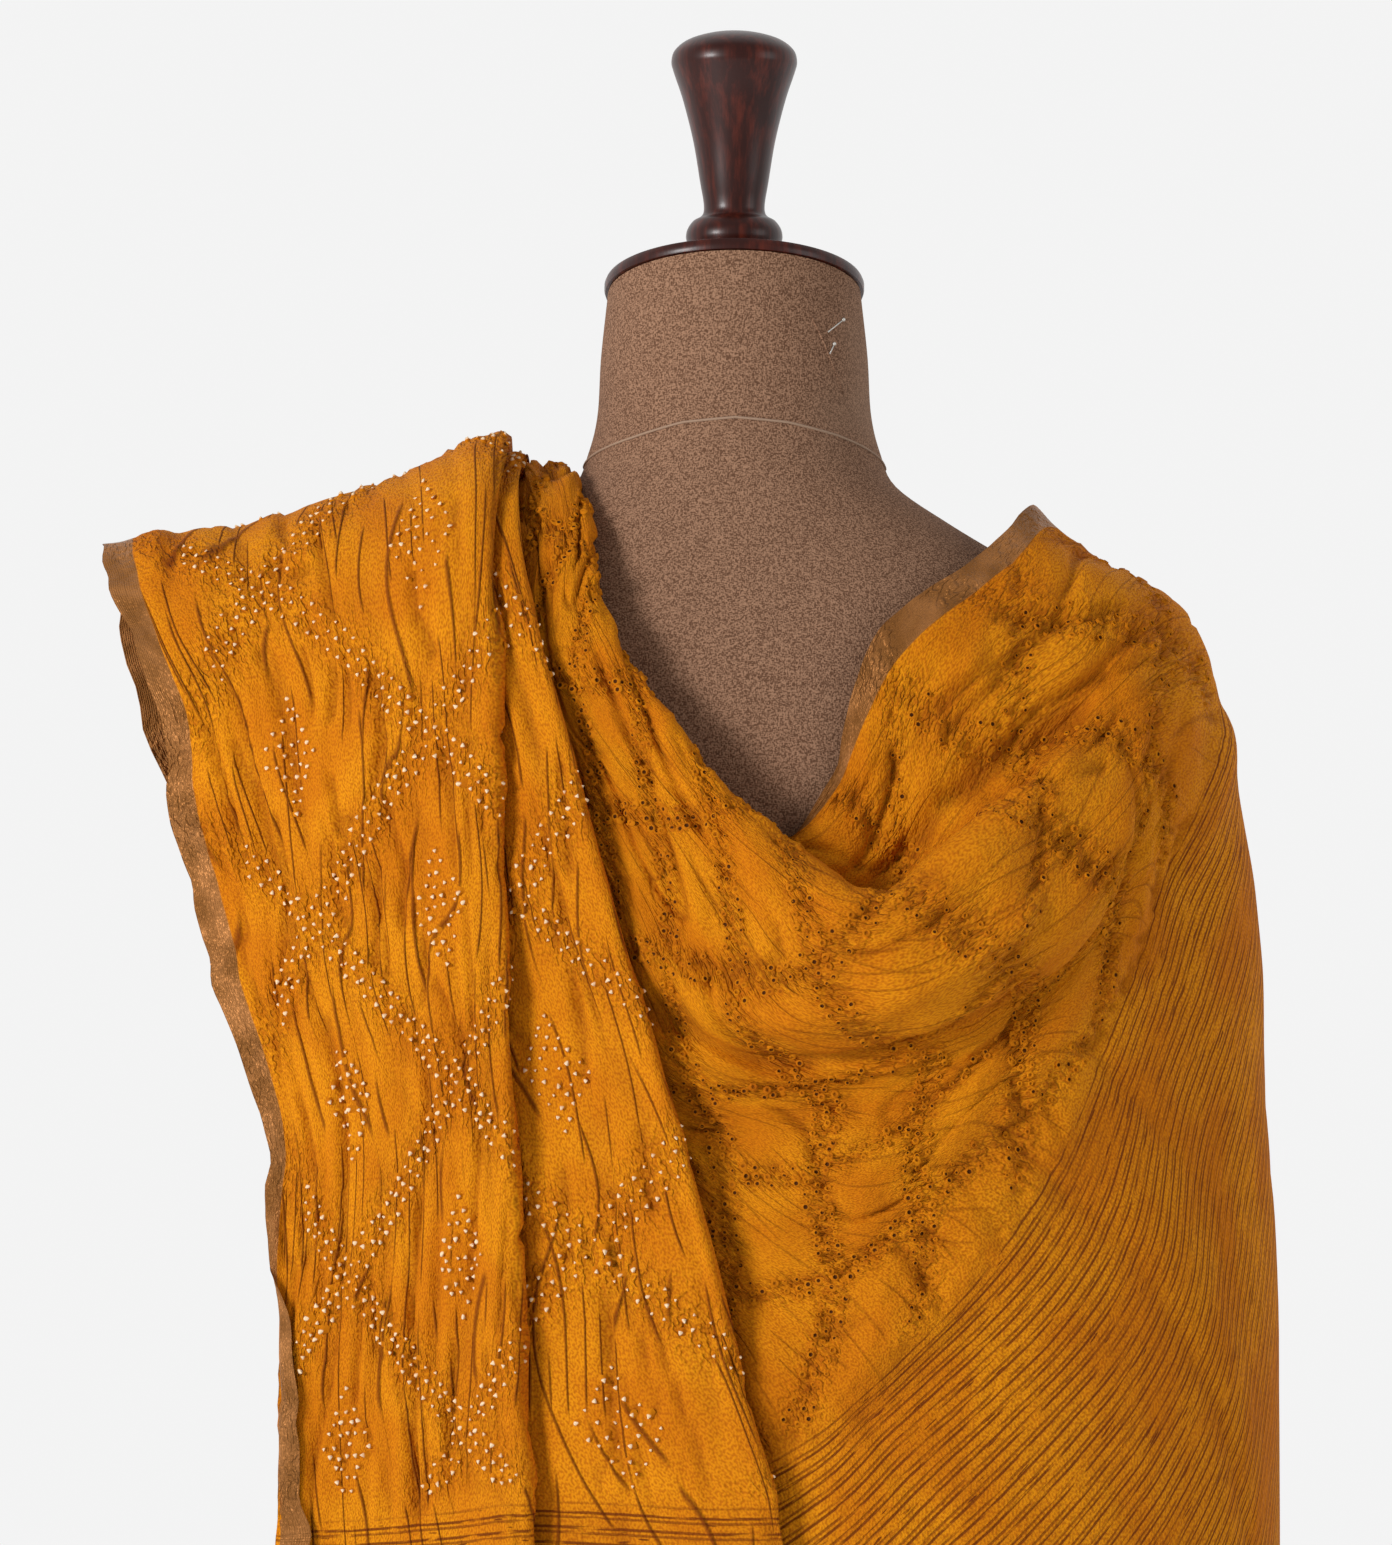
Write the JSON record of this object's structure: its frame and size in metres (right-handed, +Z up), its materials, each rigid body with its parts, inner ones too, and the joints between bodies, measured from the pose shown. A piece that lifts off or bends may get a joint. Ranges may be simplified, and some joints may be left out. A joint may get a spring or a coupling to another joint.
{
  "type": "bandhani cloth on a dress form",
  "caption": "Long tie-dyed cloth with a narrow metallic border, draped in one piece over both shoulders of a tailor's dress form on a round stand",
  "frame": {"origin": "middle of the underside of the round foot", "axes": "+Z up along the stand, -Y towards the back of the dress form (the side the picture shows), +X towards its right shoulder"},
  "size_m": [0.5167, 0.33, 1.128],
  "materials": {
    "tie_dyed_cloth": "crinkled, matt",
    "linen": "coarse, matt",
    "dark_wood": "turned, satin varnish"
  },
  "bodies": {
    "root": {"bandhani_cloth": "tie_dyed_cloth", "form_body": "linen", "neck_cap": "dark_wood", "finial": "dark_wood", "post": "dark_wood", "foot": "dark_wood"}
  },
  "joints": []
}
